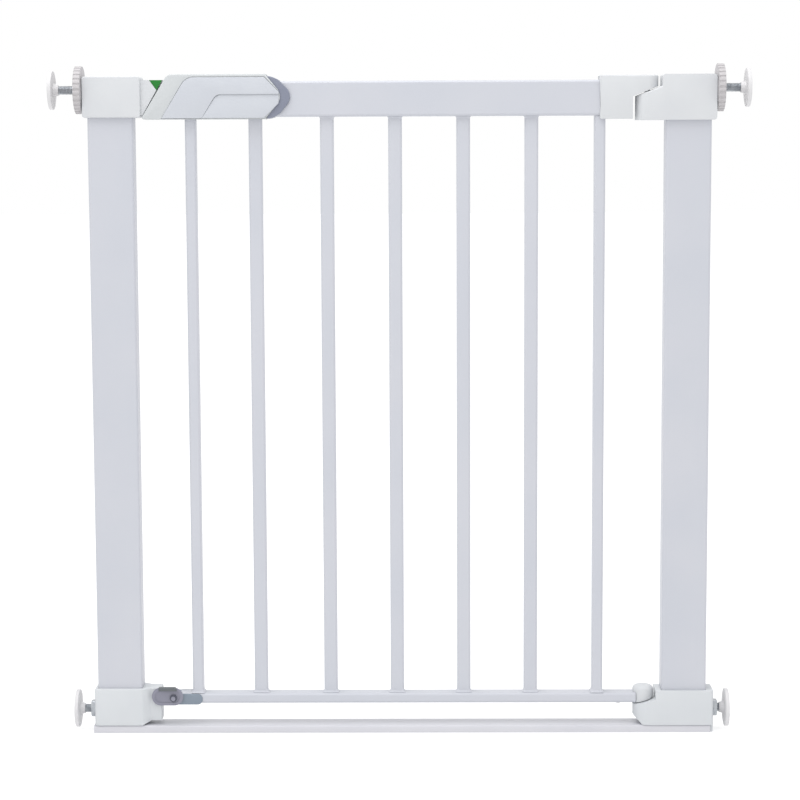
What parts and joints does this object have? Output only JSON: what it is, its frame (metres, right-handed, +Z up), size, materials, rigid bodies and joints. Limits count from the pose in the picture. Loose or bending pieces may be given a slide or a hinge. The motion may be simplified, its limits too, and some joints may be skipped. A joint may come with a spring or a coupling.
{
  "type": "stair gate latch",
  "caption": "Pressure-fit stair gate with a slide latch, lock indicator, self-closing rising hinge, stop lever, vertical bars and threaded wall pads.",
  "frame": {"origin": "on the floor, midway between the two upper wall pads and midway front to back", "axes": "+X from the latch post to the hinge post, +Y from the front face to the back, +Z up"},
  "size_m": [0.764, 0.052, 0.7408],
  "materials": {
    "painted_steel": "satin powder coat",
    "white_plastic": "fine satin texture",
    "latch_plastic": "fine satin texture",
    "latch_panel": "fine satin texture",
    "grey_plastic": "satin",
    "green_plastic": "gloss",
    "red_plastic": "gloss",
    "plated_steel": "zinc plated",
    "spring_steel": "drawn wire",
    "screw_steel": "dark zinc",
    "bush_plastic": "plain",
    "wheel_plastic": "satin",
    "pad_plastic": "satin",
    "grip_rubber": "matt"
  },
  "bodies": {
    "frame": {"left_post": "painted_steel", "right_post": "painted_steel", "floor_strip": "painted_steel", "strip_grips": "grip_rubber", "left_top_cap": "white_plastic", "right_top_cap": "white_plastic", "left_bottom_fitting": "white_plastic", "right_bottom_fitting": "white_plastic", "strike_block": "white_plastic", "indicator_red_tiles": "red_plastic", "cap_screws": "plated_steel", "fitting_screws": "plated_steel", "upper_hinge_pin": "plated_steel", "lower_hinge_pin": "plated_steel"},
    "indicator": {"indicator_flag": "green_plastic"},
    "hinge_carrier": {"upper_hinge_bush": "bush_plastic", "lower_hinge_bush": "bush_plastic"},
    "door": {"top_rail": "painted_steel", "bottom_rail": "painted_steel", "latch_stile": "painted_steel", "bar_1": "painted_steel", "bar_2": "painted_steel", "bar_3": "painted_steel", "bar_4": "painted_steel", "bar_5": "painted_steel", "hinge_stile": "painted_steel", "upper_hinge_cover": "white_plastic", "lower_hinge_cap": "white_plastic", "rail_end_plug": "grey_plastic", "latch_shell_front": "latch_plastic", "latch_shell_rear": "latch_plastic", "latch_panel_front": "latch_panel", "latch_panel_rear": "latch_panel", "finger_grip_front": "latch_panel", "finger_grip_rear": "latch_panel", "latch_screws": "plated_steel", "stop_bracket": "grey_plastic", "stop_pivot_screw": "screw_steel", "closing_bump": "grip_rubber"},
    "latch_slider": {"thumb_slide": "grey_plastic", "latch_link": "grey_plastic", "latch_bolt": "grey_plastic", "latch_spring": "spring_steel"},
    "stop_lever": {"stop_lever": "grey_plastic"},
    "left_handwheel": {"left_handwheel": "wheel_plastic"},
    "right_handwheel": {"right_handwheel": "wheel_plastic"},
    "left_hex_nut": {"left_hex_nut": "plated_steel"},
    "right_hex_nut": {"right_hex_nut": "plated_steel"},
    "upper_left_spindle": {"upper_left_spindle": "plated_steel", "upper_left_pad": "pad_plastic"},
    "upper_right_spindle": {"upper_right_spindle": "plated_steel", "upper_right_pad": "pad_plastic"},
    "lower_left_spindle": {"lower_left_spindle": "plated_steel", "lower_left_pad": "pad_plastic"},
    "lower_right_spindle": {"lower_right_spindle": "plated_steel", "lower_right_pad": "pad_plastic"}
  },
  "joints": [
    {"name": "door_lift", "type": "slide", "parent": "frame", "child": "hinge_carrier", "axis": [0, 0, 1], "range_m": [0, 0.0096]},
    {"name": "door_swing", "type": "hinge", "parent": "hinge_carrier", "child": "door", "pos_m": [0.2705, 0, 0.38], "axis": [0, 0, 1], "range_deg": [0, 90]},
    {"name": "latch_slide", "type": "slide", "parent": "door", "child": "latch_slider", "axis": [1, 0, 0], "range_m": [0, 0.008], "stiffness_N_per_m": 300, "springref_m": -0.012, "deforming": ["latch_spring"]},
    {"name": "indicator_drop", "type": "slide", "parent": "frame", "child": "indicator", "axis": [-0.4972, 0, -0.8677], "range_m": [0, 0.009]},
    {"name": "stop_lever_turn", "type": "hinge", "parent": "door", "child": "stop_lever", "pos_m": [-0.2553, -0.013, 0.0396], "axis": [0, 1, 0], "range_deg": [0, 95]},
    {"name": "upper_left_wheel_turn", "type": "hinge", "parent": "frame", "child": "left_handwheel", "pos_m": [-0.35, 0, 0.7148], "axis": [-1, 0, 0], "range_deg": [-3840, 3840]},
    {"name": "upper_left_spindle_slide", "type": "slide", "parent": "frame", "child": "upper_left_spindle", "axis": [-1, 0, 0], "range_m": [-0.01605, 0.01605]},
    {"name": "lower_left_nut_turn", "type": "hinge", "parent": "frame", "child": "left_hex_nut", "pos_m": [-0.347, 0, 0.025], "axis": [-1, 0, 0], "range_deg": [-480, 7920]},
    {"name": "lower_left_spindle_slide", "type": "slide", "parent": "frame", "child": "lower_left_spindle", "axis": [-1, 0, 0], "range_m": [-0.00205, 0.03305]},
    {"name": "upper_right_wheel_turn", "type": "hinge", "parent": "frame", "child": "right_handwheel", "pos_m": [0.35, 0, 0.7148], "axis": [1, 0, 0], "range_deg": [-3840, 3840]},
    {"name": "upper_right_spindle_slide", "type": "slide", "parent": "frame", "child": "upper_right_spindle", "axis": [1, 0, 0], "range_m": [-0.01605, 0.01605]},
    {"name": "lower_right_nut_turn", "type": "hinge", "parent": "frame", "child": "right_hex_nut", "pos_m": [0.347, 0, 0.025], "axis": [1, 0, 0], "range_deg": [-480, 7920]},
    {"name": "lower_right_spindle_slide", "type": "slide", "parent": "frame", "child": "lower_right_spindle", "axis": [1, 0, 0], "range_m": [-0.00205, 0.03305]}
  ],
  "couplings": [
    {"joint": "door_lift", "follows": "door_swing", "m_per_rad": 0.006},
    {"joint": "indicator_drop", "follows": "latch_slide", "ratio": 1.125},
    {"joint": "upper_left_spindle_slide", "follows": "upper_left_wheel_turn", "m_per_rad": 0.00023873},
    {"joint": "lower_left_spindle_slide", "follows": "lower_left_nut_turn", "m_per_rad": 0.00023873},
    {"joint": "upper_right_spindle_slide", "follows": "upper_right_wheel_turn", "m_per_rad": 0.00023873},
    {"joint": "lower_right_spindle_slide", "follows": "lower_right_nut_turn", "m_per_rad": 0.00023873}
  ]
}
